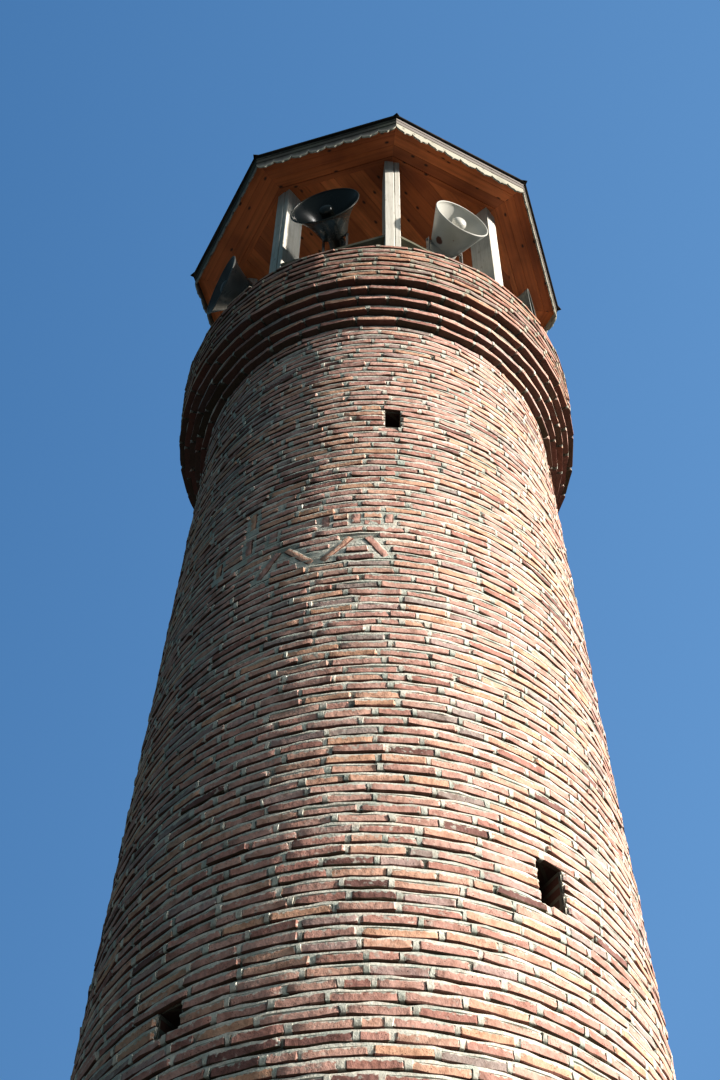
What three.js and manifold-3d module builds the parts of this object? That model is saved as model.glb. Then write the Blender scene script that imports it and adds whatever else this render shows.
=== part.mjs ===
// A round brick minaret with a timber gallery under an eight-sided metal roof.
// Millimetres, +Z up, origin on the tower's axis at ground level, doorway towards +Y.

import * as THREE from 'three';
import { mergeVertices } from 'three/addons/utils/BufferGeometryUtils.js';
import Module from 'manifold-3d';

// Brickwork: every height in the masonry is a number of brick courses
const course = 64;
const bedJoint = 20;
const baseCourses = 36;
const middleCourses = 72;
const upperCourses = 72;
const corbelCourses = 4;
const parapetCourses = 7;
const parapetCap = 32;
const thresholdCourses = 2;
const springCourses = 26;

// Shaft: outer face leans in as it rises, and the bore narrows less
const baseRadius = 1458;
const batter = 0.0275;
const boreBase = 960;
const boreTop = 740;
const roundFacets = 64;

// Corbel and parapet
const corbelStep = 42;
const parapetTopRadius = 1368;
const parapetInner = 960;
const galleryFloorDepth = course;
const hatch = { width: 700, front: -250, back: 600 };

// Doorway, cut straight through the wall along Y
const doorHalfWidth = 340;
const archSeat = 20;

// Light slits: compass angle of the centre, clear width, first course and courses open
const slits = {
  upper: { angle: 274.7, width: 90, first: 159, open: 3 },
  right: { angle: 304.6, width: 132, first: 102, open: 4 },
  left: { angle: 233.3, width: 120, first: 92, open: 2 },
};

// Gallery timber: eight posts at the corners of an octagon, rails between them
const firstCorner = 5.6;
const postDepth = 185;
const postWidth = 115;
const postFaceRadius = 1167;
const railTop = 12930;
const railHeight = 35;
const railWidth = 90;
const railFace = 1096;
const boardThickness = 25;
const soffitLevel = 14314;

// Eaves and roof
const eaveLevel = 14400;
const eaveCornerRadius = 1512;
const fasciaSetBack = 15;
const fasciaThickness = 22;
const fasciaDrop = 215;
const scallopDepth = 62;
const scallopsPerSide = 8;
const roofPitch = 42;
const roofThickness = 32;
const roofTopApothem = 62;
const capWidth = 56;
const capThickness = 7;
const capOverhang = 24;
const capTip = 36;

// Horn loudspeakers: one in the middle of each of four bays. Each has its bell's radius at
// the mouth and at the throat, the mouth's distance from the tower's axis, the bell's length,
// how much of its flare is curled outwards, and the radius of the driver behind it
const hornLevel = 13220;
const hornWall = 4;
const hornSizes = [
  { bay: 4, mouth: 235, throat: 100, mouthAt: 1325, length: 250, curl: 0.5, driver: 62, color: 0x4a4d50 },
  { bay: 5, mouth: 260, throat: 100, mouthAt: 1320, length: 245, curl: 0.5, driver: 62, color: 0x3f474f },
  { bay: 6, mouth: 215, throat: 120, mouthAt: 1320, length: 245, curl: 0, driver: 112, color: 0xd9d5c6 },
  { bay: 7, mouth: 220, throat: 120, mouthAt: 1250, length: 200, curl: 0, driver: 112, color: 0xa7a69d },
];
const driverLength = 130;
const bulletRadius = 55;
const bulletSetBack = 10;
const armWidth = 40;
const armThickness = 6;
const armGap = 24;
const pivotRadius = 9;

// Clearance kept between faces that meet inside turned groups
const seat = 0.3;

const shaftCourses = baseCourses + middleCourses + upperCourses;
const shaftHeight = shaftCourses * course;
const parapetBottom = shaftHeight + corbelCourses * course;
const parapetHeight = parapetCourses * course + parapetCap;
const parapetTop = parapetBottom + parapetHeight;
const octagonTurn = Math.PI / 4;
const halfTurn = octagonTurn / 2;
const toRadians = THREE.MathUtils.degToRad;

const outerRadius = (z) => baseRadius - batter * z;
const boreRadius = (z) => boreBase + ((boreTop - boreBase) * z) / shaftHeight;

const materials = {
  brick: new THREE.MeshStandardMaterial({ color: 0xb0785f, roughness: 0.95, metalness: 0 }),
  corbel: new THREE.MeshStandardMaterial({ color: 0x9a5f4c, roughness: 0.95, metalness: 0 }),
  floor: new THREE.MeshStandardMaterial({ color: 0x9c958a, roughness: 0.95, metalness: 0 }),
  whitePaint: new THREE.MeshStandardMaterial({ color: 0xe2dcc9, roughness: 0.6, metalness: 0 }),
  greyTimber: new THREE.MeshStandardMaterial({ color: 0x8c8b7c, roughness: 0.85, metalness: 0 }),
  pine: new THREE.MeshStandardMaterial({ color: 0xa5562c, roughness: 0.6, metalness: 0 }),
  roofMetal: new THREE.MeshStandardMaterial({ color: 0x35302b, roughness: 0.45, metalness: 0.6 }),
  brass: new THREE.MeshStandardMaterial({ color: 0xb08d4a, roughness: 0.35, metalness: 0.9 }),
  steel: new THREE.MeshStandardMaterial({ color: 0x77787a, roughness: 0.5, metalness: 0.8 }),
};

const wasm = await Module();
wasm.setup();

// A closed three.js geometry as a solid, with its shared corners merged
function solidOf(geometry) {
  const bare = geometry.clone();
  bare.deleteAttribute('normal');
  bare.deleteAttribute('uv');
  const merged = mergeVertices(bare, 1e-3);
  const corners = [];
  for (let i = 0; i < merged.index.count; i += 3) {
    const [a, b, c] = [0, 1, 2].map((k) => merged.index.getX(i + k));
    if (a !== b && b !== c && c !== a) corners.push(a, b, c);
  }
  return new wasm.Manifold(new wasm.Mesh({
    numProp: 3,
    vertProperties: new Float32Array(merged.attributes.position.array),
    triVerts: new Uint32Array(corners),
  }));
}

// The solid back as a three.js geometry
function geometryOf(solid) {
  const mesh = solid.getMesh();
  const geometry = new THREE.BufferGeometry();
  geometry.setAttribute('position', new THREE.BufferAttribute(new Float32Array(mesh.vertProperties), 3));
  geometry.setIndex(new THREE.BufferAttribute(new Uint32Array(mesh.triVerts), 1));
  geometry.computeVertexNormals();
  return geometry;
}

// A solid turned about Z from a profile of [radius, height] pairs, anticlockwise
function turned(profile, facets = roundFacets) {
  const points = profile.map(([r, z]) => new THREE.Vector2(r, z));
  if (profile[0][0] > 0) points.push(points[0].clone());
  return new THREE.LatheGeometry(points, facets).rotateX(Math.PI / 2);
}

// A box from its low corner to its high corner
function block(low, high) {
  const size = high.map((value, axis) => value - low[axis]);
  return new THREE.BoxGeometry(...size).translate(...low.map((value, axis) => value + size[axis] / 2));
}

// An upright prism on an outline of [x, y] pairs
function prism(outline, bottom, top, hole) {
  const shape = new THREE.Shape(outline.map(([x, y]) => new THREE.Vector2(x, y)));
  if (hole) shape.holes.push(new THREE.Path(hole.map(([x, y]) => new THREE.Vector2(x, y))));
  const depth = top - bottom;
  return new THREE.ExtrudeGeometry(shape, { depth, bevelEnabled: false }).translate(0, 0, bottom);
}

// Corners of an octagon whose flat sides lie at an apothem, with one corner on +X
function octagon(apothem) {
  const radius = apothem / Math.cos(halfTurn);
  return Array.from({ length: 8 }, (_, k) => [
    radius * Math.cos(k * octagonTurn),
    radius * Math.sin(k * octagonTurn),
  ]);
}

function addMesh(parent, name, geometry, material) {
  const mesh = new THREE.Mesh(geometry, material);
  mesh.name = name;
  parent.add(mesh);
  return mesh;
}

const minaret = new THREE.Group();

// Quarters of a ring meet on the planes through the axis
const reach = 2 * baseRadius;
const quarters = {
  front_right: [[0, -reach], [reach, 0]],
  front_left: [[-reach, -reach], [0, 0]],
  back_left: [[-reach, 0], [0, reach]],
  back_right: [[0, 0], [reach, reach]],
};
const halves = {
  left: [[-reach, -reach], [0, reach]],
  right: [[0, -reach], [reach, reach]],
};

function part(solid, [low, high], bottom, top) {
  return solid.intersect(solidOf(block([...low, bottom], [...high, top])));
}

// A tier of the shaft as a ring with its foot at z = 0
function shaftTier(first, count) {
  const bottom = first * course;
  const top = (first + count) * course;
  const height = top - bottom;
  return solidOf(turned([
    [boreRadius(bottom), 0],
    [outerRadius(bottom), 0],
    [outerRadius(top), height],
    [boreRadius(top), height],
  ]));
}

// The passage of a light slit, from the bed joint below its first open course up to the
// brick over it, with heights counted from the tier's foot
function slitPassage({ angle, width, first, open }, tierFoot) {
  const bottom = (first - tierFoot) * course;
  const passage = block(
    [boreTop / 2, -width / 2, bottom - bedJoint],
    [baseRadius * 1.2, width / 2, bottom + open * course],
  );
  return solidOf(passage.rotateZ(toRadians(angle)));
}

// Ground floor inside the shaft, level with the threshold
const thresholdTop = thresholdCourses * course;
const floorRadius = boreRadius(thresholdTop) - seat;
addMesh(minaret, 'ground_floor', turned([
  [0, 0],
  [floorRadius, 0],
  [floorRadius, thresholdTop],
  [0, thresholdTop],
]), materials.floor);

// Base tier, split beside and over the doorway
const baseHeight = baseCourses * course;
const springLevel = springCourses * course;
const archHalfWidth = doorHalfWidth + archSeat;
const baseRing = shaftTier(0, baseCourses);
const doorPassage = solidOf(block([-doorHalfWidth, 0, thresholdTop], [doorHalfWidth, reach, springLevel]));
const archPocket = solidOf(block([-archHalfWidth, 0, springLevel], [archHalfWidth, reach, baseHeight + 1]));
const baseWall = baseRing.subtract(doorPassage).subtract(archPocket);
for (const [place, span] of Object.entries(quarters)) {
  addMesh(minaret, `shaft_base_${place}`, geometryOf(part(baseWall, span, -1, baseHeight + 1)), materials.brick);
}
const archVoid = solidOf(new THREE.CylinderGeometry(doorHalfWidth, doorHalfWidth, 2 * reach, 48)
  .translate(0, 0, springLevel));
const archBlock = baseRing.intersect(archPocket).subtract(archVoid);
addMesh(minaret, 'doorway_arch', geometryOf(archBlock), materials.brick);

// Middle and upper tiers, with the light slits cut through; a quarter built in two lifts
// has a bed joint across it at the height given in lifts
function addTier(name, first, count, passages, lifts = {}) {
  const top = count * course + 1;
  const ring = passages.reduce((wall, slit) => wall.subtract(slitPassage(slit, first)), shaftTier(first, count));
  for (const [place, span] of Object.entries(quarters)) {
    const seam = lifts[place];
    const pieces = seam
      ? { [`${place}_lower`]: [-1, seam], [`${place}_upper`]: [seam, top] }
      : { [place]: [-1, top] };
    for (const [label, ends] of Object.entries(pieces)) {
      addMesh(minaret, `${name}_${label}`, geometryOf(part(ring, span, ...ends)), materials.brick)
        .position.z = first * course;
    }
  }
}
addTier('shaft_middle', baseCourses, middleCourses, [slits.left, slits.right], {
  front_left: (slits.left.first - baseCourses) * course - bedJoint,
});
addTier('shaft_upper', baseCourses + middleCourses, upperCourses, [slits.upper]);

// Corbel of stepped courses, each reaching out past the one below
const corbelProfile = [[boreTop, 0]];
for (let step = 0; step < corbelCourses; step += 1) {
  const radius = outerRadius(shaftHeight) + (step + 1) * corbelStep;
  corbelProfile.push([radius, step * course], [radius, (step + 1) * course]);
}
corbelProfile.push([boreTop, corbelCourses * course]);
const corbelRing = solidOf(turned(corbelProfile));

// Parapet, leaning out slightly to its top
const parapetFoot = outerRadius(shaftHeight) + (corbelCourses + 1) * corbelStep;
const parapetRing = solidOf(turned([
  [parapetInner, 0],
  [parapetFoot, 0],
  [parapetTopRadius, parapetHeight],
  [parapetInner, parapetHeight],
]));
for (const [place, span] of Object.entries(halves)) {
  const corbelHalf = geometryOf(part(corbelRing, span, -1, corbelCourses * course + 1));
  addMesh(minaret, `corbel_${place}`, corbelHalf, materials.corbel).position.z = shaftHeight;
  const parapetHalf = geometryOf(part(parapetRing, span, -1, parapetHeight + 1));
  addMesh(minaret, `parapet_${place}`, parapetHalf, materials.brick).position.z = parapetBottom;
}

// Gallery floor on the corbel, open over the stair well
const galleryRadius = parapetInner - seat;
const galleryDisc = solidOf(turned([
  [0, 0],
  [galleryRadius, 0],
  [galleryRadius, galleryFloorDepth],
  [0, galleryFloorDepth],
]));
const hatchVoid = solidOf(block(
  [-hatch.width / 2, hatch.front, -1],
  [hatch.width / 2, hatch.back, galleryFloorDepth + 1],
));
addMesh(minaret, 'gallery_floor', geometryOf(galleryDisc.subtract(hatchVoid)), materials.floor)
  .position.z = parapetBottom;

// Everything above the parapet turns with the octagon
const gallery = new THREE.Group();
gallery.rotation.z = toRadians(firstCorner);
minaret.add(gallery);

const postCentre = postFaceRadius - postDepth / 2;
const postHeight = soffitLevel - parapetTop;
const frameApothem = postFaceRadius * Math.cos(halfTurn);

function postSolid(corner, clearance) {
  const post = block(
    [postCentre - postDepth / 2 - clearance, -postWidth / 2 - clearance, parapetTop],
    [postCentre + postDepth / 2 + clearance, postWidth / 2 + clearance, soffitLevel],
  );
  return solidOf(post.rotateZ(corner * octagonTurn));
}

// A rail lies between two posts and is cut to their side faces
const railHalfLength = railFace * Math.tan(halfTurn) - postWidth / 2;
const railBlock = block(
  [railFace - railWidth, -railHalfLength, railTop - railHeight],
  [railFace, railHalfLength, railTop],
).rotateZ(halfTurn);
const railSolid = solidOf(railBlock).subtract(postSolid(0, seat)).subtract(postSolid(1, seat));
const railGeometry = geometryOf(railSolid);

for (let corner = 0; corner < 8; corner += 1) {
  const turn = new THREE.Group();
  turn.rotation.z = corner * octagonTurn;
  gallery.add(turn);
  const post = new THREE.BoxGeometry(postDepth, postWidth, postHeight);
  addMesh(turn, `post_${corner + 1}`, post, materials.whitePaint)
    .position.set(postCentre, 0, parapetTop + postHeight / 2);
  addMesh(turn, `rail_${corner + 1}`, railGeometry, materials.greyTimber);
}

// Ceiling over the posts and soffit out to the fascia, boarded at one level
const eaveApothem = eaveCornerRadius * Math.cos(halfTurn);
const fasciaFace = eaveApothem - fasciaSetBack;
const fasciaBack = fasciaFace - fasciaThickness;
const boardsTop = soffitLevel + boardThickness;
addMesh(gallery, 'ceiling', prism(octagon(frameApothem - seat), soffitLevel, boardsTop), materials.pine);
addMesh(gallery, 'soffit', prism(
  octagon(fasciaBack - seat), soffitLevel, boardsTop, octagon(frameApothem),
), materials.pine);

// Fascia with a sawn lower edge: rounded tongues that end in small points
const fasciaFoot = eaveLevel - fasciaDrop;
const fasciaRing = solidOf(prism(octagon(fasciaFace), fasciaFoot, eaveLevel, octagon(fasciaBack)));
const fasciaSide = 2 * fasciaFace * Math.tan(halfTurn);
const scallopPitch = fasciaSide / scallopsPerSide;

function scallopCutter() {
  const edge = new THREE.Shape();
  const left = -fasciaSide / 2;
  edge.moveTo(left, fasciaFoot - 40);
  edge.lineTo(left, fasciaFoot + scallopDepth);
  for (let tongue = 0; tongue < scallopsPerSide; tongue += 1) {
    const start = left + tongue * scallopPitch;
    const middle = start + scallopPitch / 2;
    const end = start + scallopPitch;
    const waist = fasciaFoot + scallopDepth * 0.28;
    edge.quadraticCurveTo(start + scallopPitch * 0.06, waist, middle - scallopPitch * 0.12, waist);
    edge.lineTo(middle, fasciaFoot);
    edge.lineTo(middle + scallopPitch * 0.12, waist);
    edge.quadraticCurveTo(end - scallopPitch * 0.06, waist, end, fasciaFoot + scallopDepth);
  }
  edge.lineTo(-left, fasciaFoot - 40);
  edge.closePath();
  const depth = 4 * fasciaThickness;
  return new THREE.ExtrudeGeometry(edge, { depth, bevelEnabled: false, curveSegments: 3 })
    .rotateX(Math.PI / 2)
    .rotateZ(Math.PI / 2)
    .translate(fasciaBack - fasciaThickness, 0, 0);
}

let fascia = fasciaRing;
for (let side = 0; side < 8; side += 1) {
  fascia = fascia.subtract(solidOf(scallopCutter().rotateZ(halfTurn + side * octagonTurn)));
}
addMesh(gallery, 'fascia', geometryOf(fascia), materials.whitePaint);

// A pyramid on the eave octagon, cut flat near its apex; grow moves its faces outwards
const rise = Math.tan(toRadians(roofPitch));
const roofTop = eaveLevel + (eaveApothem - roofTopApothem) * rise;

function roofPyramid(grow, bottom, top) {
  const outward = grow / Math.sin(toRadians(roofPitch));
  const cornerAt = (z) => (eaveApothem + outward - (z - eaveLevel) / rise) / Math.cos(halfTurn);
  return solidOf(new THREE.CylinderGeometry(cornerAt(top), cornerAt(bottom), top - bottom, 8)
    .rotateX(Math.PI / 2)
    .rotateZ(Math.PI / 2)
    .translate(0, 0, (top + bottom) / 2));
}

// The roof is a shell, closed at its flat top and open below
const shellTop = roofTop - roofThickness;
const roofShell = roofPyramid(0, eaveLevel, roofTop)
  .subtract(roofPyramid(-roofThickness, eaveLevel - 1, shellTop));
addMesh(gallery, 'roof', geometryOf(roofShell), materials.roofMetal);

// Caps along the eight hips, joined at the top and cut to a point at the eave
const capFoot = eaveLevel - capOverhang * rise;
const capEnd = eaveCornerRadius + capOverhang;
const capShoulder = capEnd - capTip;
const capBars = [0, 1, 2, 3].map((hip) => solidOf(prism([
  [-capEnd, 0],
  [-capShoulder, -capWidth / 2],
  [capShoulder, -capWidth / 2],
  [capEnd, 0],
  [capShoulder, capWidth / 2],
  [-capShoulder, capWidth / 2],
], eaveLevel - capOverhang, roofTop).rotateZ(hip * octagonTurn)));
const capCross = capBars.reduce((joined, bar) => joined.add(bar));
const hipCaps = capCross
  .intersect(roofPyramid(capThickness, capFoot, roofTop))
  .subtract(roofPyramid(seat, capFoot - 1, roofTop + 1));
addMesh(gallery, 'hip_caps', geometryOf(hipCaps), materials.roofMetal);

// Finial: a turned stem with two balls, ending in a small crescent
function ballArc(centre, radius, from, to, steps) {
  return Array.from({ length: steps + 1 }, (_, i) => {
    const angle = toRadians(from + ((to - from) * i) / steps);
    return [radius * Math.cos(angle), centre + radius * Math.sin(angle)];
  });
}
const stem = solidOf(turned([
  [0, 0],
  [96, 0],
  [96, 14],
  [34, 60],
  [20, 110],
  ...ballArc(190, 76, -74, 74, 6),
  [18, 280],
  ...ballArc(340, 52, -70, 70, 6),
  [14, 410],
  [10, 470],
  [0, 470],
], 16));
const crescentDisc = (radius, thickness, height) => solidOf(
  new THREE.CylinderGeometry(radius, radius, thickness, 32).translate(0, 0, height),
);
const crescent = crescentDisc(82, 10, 540).subtract(crescentDisc(62, 20, 570));
addMesh(gallery, 'finial', geometryOf(stem.add(crescent)), materials.brass).position.z = roofTop;

// A horn: driver can, flared bell and the bullet inside it, turned about the horn's axis,
// and a pivot through the driver that reaches both arms of the bracket
function hornGeometry({ mouth, throat, length, curl, driver }) {
  const flare = (t) => throat + (mouth - throat) * ((1 - curl) * t + curl * t ** 2.5);
  const steps = 6;
  const bulletTip = driverLength + length - bulletSetBack;
  const outside = Array.from({ length: steps + 1 }, (_, i) => [
    flare(i / steps) + hornWall, driverLength + (length * i) / steps,
  ]);
  const inside = Array.from({ length: steps + 1 }, (_, i) => [
    flare(1 - i / steps) - hornWall, driverLength + length - ((length - 12) * i) / steps,
  ]);
  const bell = solidOf(turned([
    [0, 0],
    [driver - 8, 0],
    [driver, 8],
    [driver, driverLength - 2],
    ...outside,
    ...inside,
    [bulletRadius, driverLength + 12],
    [bulletRadius, bulletTip - 38],
    [bulletRadius * 0.8, bulletTip - 14],
    [bulletRadius * 0.4, bulletTip - 3],
    [0, bulletTip],
  ], 24));
  const pivot = new THREE.CylinderGeometry(pivotRadius, pivotRadius, 2 * (driver + armGap), 12)
    .translate(0, 0, driverLength - armWidth / 2 - 4);
  return geometryOf(bell.add(solidOf(pivot)));
}

// A U bracket: a foot on the rail and an arm up each side of the driver
function bracketGeometry(driver) {
  const inner = driver + armGap + seat;
  const outer = inner + armThickness;
  const foot = railTop - hornLevel;
  const head = armWidth / 2;
  const outline = [
    [-outer, foot], [outer, foot], [outer, head], [inner, head],
    [inner, foot + armThickness], [-inner, foot + armThickness], [-inner, head], [-outer, head],
  ];
  const shape = new THREE.Shape(outline.map(([x, y]) => new THREE.Vector2(x, y)));
  return new THREE.ExtrudeGeometry(shape, { depth: armWidth, bevelEnabled: false })
    .translate(0, 0, -armWidth / 2)
    .rotateX(Math.PI / 2)
    .rotateZ(Math.PI / 2);
}

hornSizes.forEach((sizes, index) => {
  const turn = new THREE.Group();
  turn.rotation.z = halfTurn + sizes.bay * octagonTurn;
  turn.position.z = hornLevel;
  gallery.add(turn);
  const paint = new THREE.MeshStandardMaterial({ color: sizes.color, roughness: 0.5, metalness: 0.2 });
  const horn = addMesh(turn, `horn_${index + 1}`, hornGeometry(sizes), paint);
  const throatAt = sizes.mouthAt - sizes.length;
  horn.rotation.y = Math.PI / 2;
  horn.position.x = throatAt - driverLength;
  addMesh(turn, `horn_bracket_${index + 1}`, bracketGeometry(sizes.driver), materials.steel)
    .position.x = throatAt - armWidth / 2 - 4;
});

export default minaret;
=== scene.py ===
import math

import bpy
import numpy as np
from mathutils import Matrix, Vector


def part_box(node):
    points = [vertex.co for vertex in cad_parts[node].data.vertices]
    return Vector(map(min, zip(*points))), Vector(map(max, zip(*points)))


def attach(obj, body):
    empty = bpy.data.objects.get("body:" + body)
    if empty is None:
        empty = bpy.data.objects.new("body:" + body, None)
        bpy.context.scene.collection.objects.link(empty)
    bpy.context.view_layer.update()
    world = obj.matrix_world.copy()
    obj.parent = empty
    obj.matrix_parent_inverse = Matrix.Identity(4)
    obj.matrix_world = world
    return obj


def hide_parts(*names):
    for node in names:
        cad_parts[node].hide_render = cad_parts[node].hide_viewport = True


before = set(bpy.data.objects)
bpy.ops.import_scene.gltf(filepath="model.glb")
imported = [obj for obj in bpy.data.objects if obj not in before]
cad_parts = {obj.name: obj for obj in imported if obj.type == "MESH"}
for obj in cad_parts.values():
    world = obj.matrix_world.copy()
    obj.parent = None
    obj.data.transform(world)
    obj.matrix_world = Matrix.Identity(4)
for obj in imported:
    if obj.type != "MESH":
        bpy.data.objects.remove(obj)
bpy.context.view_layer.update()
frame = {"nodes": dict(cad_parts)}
nodes, scene = frame["nodes"], bpy.context.scene
show = scene.collection.objects.link

# The viewer stands 6.2 m from the tower's axis at eye height and looks steeply up.
# The lens is a long-normal one, upright frame, with the faint roll of a hand-held view.
viewer = 0, -6.198, 1.616
pitch, turn, roll = math.radians(55.84), math.radians(-0.94), 0.018
film_height, lens_pixels, picture_pixels = 36, 1704.8, 1080
across = np.array([math.cos(turn), -math.sin(turn), 0])
ahead = np.array([math.cos(pitch) * math.sin(turn), math.cos(pitch) * math.cos(turn), math.sin(pitch)])
over = np.cross(across, ahead)
stand = np.eye(4)
stand[:3, 0] = across * math.cos(roll) + over * math.sin(roll)
stand[:3, 1] = over * math.cos(roll) - across * math.sin(roll)
stand[:3, 2] = -ahead
stand[:3, 3] = viewer
lens = bpy.data.cameras.new("camera")
lens.sensor_fit, lens.sensor_height, lens.clip_end = "VERTICAL", film_height, 300
lens.lens = film_height * lens_pixels / picture_pixels
camera = bpy.data.objects.new("camera", lens)
camera.matrix_world = Matrix(stand.tolist())
show(camera)
scene.camera = camera

# A low warm key light from the right, a soft weak fill a little nearer the front, and a dim
# cool surround that reaches the shade from all sides. Angles are in degrees.
lights = (("key_light", 8.0, 2, (1.0, 0.91, 0.81), 341, 15.5),
          ("fill_light", 1.15, 16, (1.0, 0.96, 0.91), 319, 16))
for name, energy, spread, color, azimuth, height in lights:
    lamp = bpy.data.objects.new(name, bpy.data.lights.new(name, "SUN"))
    lamp.data.energy, lamp.data.angle, lamp.data.color = energy, math.radians(spread), color
    azimuth, height = math.radians(azimuth), math.radians(height)
    level_part = math.cos(height)
    towards = Vector((math.cos(azimuth) * level_part, math.sin(azimuth) * level_part, math.sin(height)))
    lamp.matrix_world = towards.to_track_quat("Z", "Y").to_matrix().to_4x4()
    show(lamp)
surround = bpy.data.worlds.new("surround")
surround.use_nodes = True
air = surround.node_tree.nodes["Background"].inputs
air["Color"].default_value, air["Strength"].default_value = (0.072, 0.119, 0.150, 1), 1.0
scene.world = surround
scene.view_settings.view_transform = "Standard"
scene.view_settings.look = "Medium High Contrast"


# The wall itself: a hollow ring of masonry whose outer face lies behind the face bricks.
# What shows of it is bed mortar outside, and coursed brick in the openings and the bore.
class Wire:
    """A socket of a node tree; arithmetic on wires adds Math nodes to the tree."""

    def __init__(self, socket):
        self.socket, self.tree = socket, socket.id_data

    def node(self, kind, settings=None, values=None, output=0):
        """Adds a node: its settings first, then the values or wires of its sockets."""
        new = self.tree.nodes.new("ShaderNode" + kind)
        for name, value in (settings or {}).items():
            if name == "stops":
                ramp = new.color_ramp.elements
                while len(ramp) < len(value):
                    ramp.new(0.5)
                for stop, (place, color) in zip(ramp, value):
                    stop.position, stop.color = place, (*color, 1)
            else:
                setattr(new, name, value)
        for name, value in (values or {}).items():
            if isinstance(value, Wire):
                self.tree.links.new(value.socket, new.inputs[name])
            else:
                new.inputs[name].default_value = value
        return Wire(new.outputs[output])

    def beside(self, output):
        """Another output of the node that this wire comes from."""
        return Wire(self.socket.node.outputs[output])

    def math(self, operation, *others):
        """A Math node on this wire and the other terms."""
        return self.node("Math", {"operation": operation}, dict(enumerate((self, *others))))

    def __add__(self, other):
        return self.math("ADD", other)

    def __sub__(self, other):
        return self.math("SUBTRACT", other)

    def __rsub__(self, other):
        return self.node("Math", {"operation": "SUBTRACT"}, {0: other, 1: self})

    def __mul__(self, other):
        return self.math("MULTIPLY", other)

    __radd__, __rmul__ = __add__, __mul__

    def part(self, axis):
        """The X, Y or Z of a vector wire."""
        return self.node("SeparateXYZ", None, {0: self}, axis)

    def mark(self, name):
        """The value of one of the mesh's own marks."""
        return self.node("Attribute", {"attribute_name": name}, output="Fac")

    def times(self, x, y, z):
        """A vector wire with its three parts multiplied by three numbers."""
        return self.node("VectorMath", {"operation": "MULTIPLY"}, {0: self, 1: (x, y, z)})

    def noise(self, scale, detail):
        """Cloudy noise between 0 and 1, with this many features per metre."""
        return self.node("TexNoise", None, {"Vector": self, "Scale": scale, "Detail": detail})

    def rise(self, low, high):
        """0 at low, 1 at high and a smooth rise between, level outside them."""
        return self.node("MapRange", {"interpolation_type": "SMOOTHSTEP"},
                         {"Value": self, "From Min": low, "From Max": high})

    def clouds(self, scale, detail, low, high):
        """Patches: the rise of a noise between two of its values."""
        return self.noise(scale, detail).rise(low, high)

    def tint(self, color, amount, how="MIX"):
        """A colour wire mixed with a colour by an amount."""
        top = color if isinstance(color, Wire) else (*color, 1)
        return self.node("Mix", {"data_type": "RGBA", "blend_type": how}, {0: amount, 6: self, 7: top}, 2)

    def ramp(self, *stops):
        """A colour for each value from 0 to 1, from evenly spaced colours."""
        last = len(stops) - 1
        return self.node("ValToRGB", {"stops": [(i / last, c) for i, c in enumerate(stops)]}, {"Fac": self})


def new_finish(name):
    """A material, and the wire of the place on it in metres."""
    finish = bpy.data.materials.new(name)
    finish.use_nodes = True
    return finish, Wire(finish.node_tree.nodes["Principled BSDF"].inputs[0]).node("TexCoord", output="Object")


def coat(finish, color, roughness, height=None, depth=0.001, metallic=0.0, gloss=0.5):
    """Links colour, roughness and a bump of this depth in metres to the material's shader."""
    shader = finish.node_tree.nodes["Principled BSDF"]
    shader.inputs["Specular IOR Level"].default_value = gloss
    for name, value in (("Base Color", color), ("Roughness", roughness), ("Metallic", metallic)):
        if isinstance(value, Wire):
            finish.node_tree.links.new(value.socket, shader.inputs[name])
        else:
            shader.inputs[name].default_value = value
    if height is not None:
        bump = height.node("Bump", None, {"Height": height, "Distance": depth}, "Normal")
        finish.node_tree.links.new(bump.socket, shader.inputs["Normal"])
    return finish


course, brick_height = 0.064, 0.043
foot_radius, lean, head_inside = 1.458, 0.0275, 1.12


def mortar_color(place):
    """Lime mortar: cream with greenish-grey and sandy patches and dark grit."""
    cloud = place.clouds(7, 4, 0.35, 0.7)
    grit = place.clouds(260, 2, 0.62, 0.72) * 0.5
    damp = place.clouds(2.3, 3, 0.55, 0.8) * 0.5
    color = cloud.ramp((0.43, 0.47, 0.42), (0.58, 0.59, 0.53), (0.67, 0.65, 0.57))
    return color.tint((0.17, 0.18, 0.15), grit).tint((0.24, 0.29, 0.26), damp)


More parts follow.
